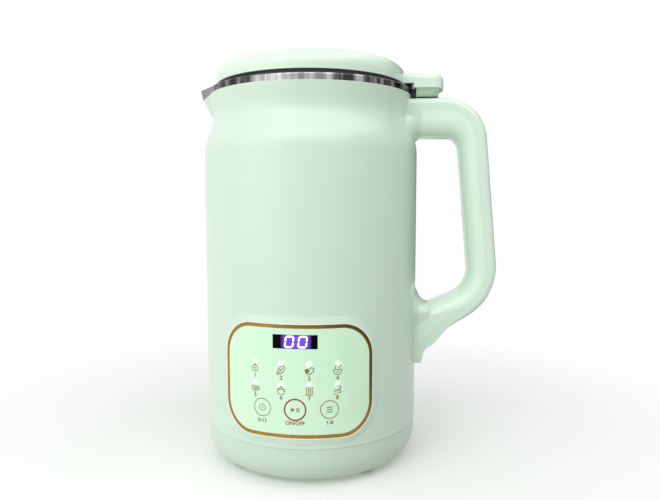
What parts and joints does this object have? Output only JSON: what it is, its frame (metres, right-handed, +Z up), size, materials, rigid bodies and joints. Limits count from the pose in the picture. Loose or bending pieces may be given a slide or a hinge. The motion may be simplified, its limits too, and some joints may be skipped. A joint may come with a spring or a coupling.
{
  "type": "soy milk maker",
  "caption": "Jug-shaped soy milk maker with a steel cup, blades and heater inside, curved touch panel, loop handle and lift-off domed lid.",
  "frame": {"origin": "on the body's axis, in the plane of the foot ring's underside", "axes": "+Z up along the body's axis, -Y out of the control panel, +X towards the handle, -X towards the spout"},
  "size_m": [0.182, 0.1311, 0.2434],
  "materials": {
    "body_plastic": "satin",
    "base_plastic": "satin",
    "grip_plastic": "satin",
    "cover_plastic": "satin",
    "lid_plastic": "glossy",
    "tab_base_plastic": "satin",
    "liner_plastic": "matte",
    "vent_plastic": "satin",
    "foot_rubber": "matte",
    "base_screw_steel": "satin",
    "cup_steel": "brushed",
    "handle_screw_steel": "satin",
    "panel_plastic": "glossy",
    "gold_trim": "satin",
    "display_glass": "glossy",
    "inlet_plastic": "matte",
    "pin_brass": "satin",
    "socket_plastic": "matte",
    "seal_rubber": "matte",
    "probe_steel": "satin",
    "coupler_brass": "satin",
    "gasket_rubber": "matte",
    "housing_steel": "satin",
    "housing_nut_steel": "satin",
    "shaft_seal_rubber": "matte",
    "heater_aluminium": "satin",
    "heater_tube_steel": "satin",
    "sensor_steel": "satin",
    "cutout_plastic": "matte",
    "stud_steel": "satin",
    "spacer_steel": "satin",
    "nut_steel": "satin",
    "motor_plate_steel": "satin",
    "bush_rubber": "matte",
    "bracket_screw_steel": "satin",
    "upper_bracket_steel": "satin",
    "lower_bracket_steel": "satin",
    "upper_bearing_steel": "satin",
    "lower_bearing_steel": "satin",
    "stator_steel": "satin",
    "coil_copper": "satin",
    "bolt_steel": "satin",
    "brush_box_plastic": "matte",
    "brush_carbon": "matte",
    "shaft_steel": "satin",
    "armature_steel": "satin",
    "winding_copper": "satin",
    "commutator_brass": "satin",
    "fan_plastic": "matte",
    "lower_blade_steel": "satin",
    "blade_spacer_steel": "satin",
    "upper_blade_steel": "satin",
    "blade_nut_steel": "satin",
    "module_plastic": "satin",
    "control_board_laminate": "satin",
    "guide_plastic": "satin",
    "touch_pad_rubber": "matte",
    "board_screw_steel": "satin",
    "power_board_laminate": "satin",
    "component_plastic": "satin"
  },
  "bodies": {
    "body": {"outer_shell": "body_plastic", "base_cover": "base_plastic", "handle_grip": "grip_plastic", "handle_cover": "cover_plastic", "foot_ring": "foot_rubber", "base_screws": "base_screw_steel", "inner_cup": "cup_steel", "handle_screws": "handle_screw_steel", "control_panel": "panel_plastic", "panel_trim": "gold_trim", "display_window": "display_glass", "inlet_housing": "inlet_plastic", "inlet_pins": "pin_brass", "coupler_socket": "socket_plastic", "cup_gasket": "gasket_rubber", "seal_housing": "housing_steel", "housing_nut": "housing_nut_steel", "shaft_seal": "shaft_seal_rubber", "heater_plate": "heater_aluminium", "heater_tube": "heater_tube_steel", "temperature_sensor": "sensor_steel", "thermal_cutout": "cutout_plastic", "cup_studs": "stud_steel", "stud_spacers": "spacer_steel", "stud_nuts": "nut_steel", "motor_plate": "motor_plate_steel", "motor_bushes": "bush_rubber", "bracket_screws": "bracket_screw_steel", "upper_bracket": "upper_bracket_steel", "lower_bracket": "lower_bracket_steel", "upper_bearing": "upper_bearing_steel", "lower_bearing": "lower_bearing_steel", "stator_core": "stator_steel", "field_coils": "coil_copper", "through_bolts": "bolt_steel", "brush_boxes": "brush_box_plastic", "carbon_brushes": "brush_carbon", "display_module": "module_plastic", "control_board": "control_board_laminate", "light_guide": "guide_plastic", "touch_pads": "touch_pad_rubber", "board_screws": "board_screw_steel", "power_board": "power_board_laminate", "power_components": "component_plastic"},
    "rotor": {"motor_shaft": "shaft_steel", "armature_core": "armature_steel", "armature_windings": "winding_copper", "commutator": "commutator_brass", "cooling_fan": "fan_plastic", "blade_lower": "lower_blade_steel", "blade_spacer": "blade_spacer_steel", "blade_upper": "upper_blade_steel", "blade_nut": "blade_nut_steel"},
    "lid": {"lid_cover": "lid_plastic", "tab_base": "tab_base_plastic", "lid_liner": "liner_plastic", "lid_seal": "seal_rubber", "steam_vent": "vent_plastic", "overflow_probe": "probe_steel", "coupler_pins": "coupler_brass"}
  },
  "joints": [
    {"name": "lid_lift", "type": "slide", "parent": "body", "child": "lid", "axis": [0, 0, 1], "range_m": [0, 0.12]},
    {"name": "blade_spin", "type": "hinge", "parent": "body", "child": "rotor", "pos_m": [0, 0, 0.11], "axis": [0, 0, 1], "continuous": true}
  ]
}
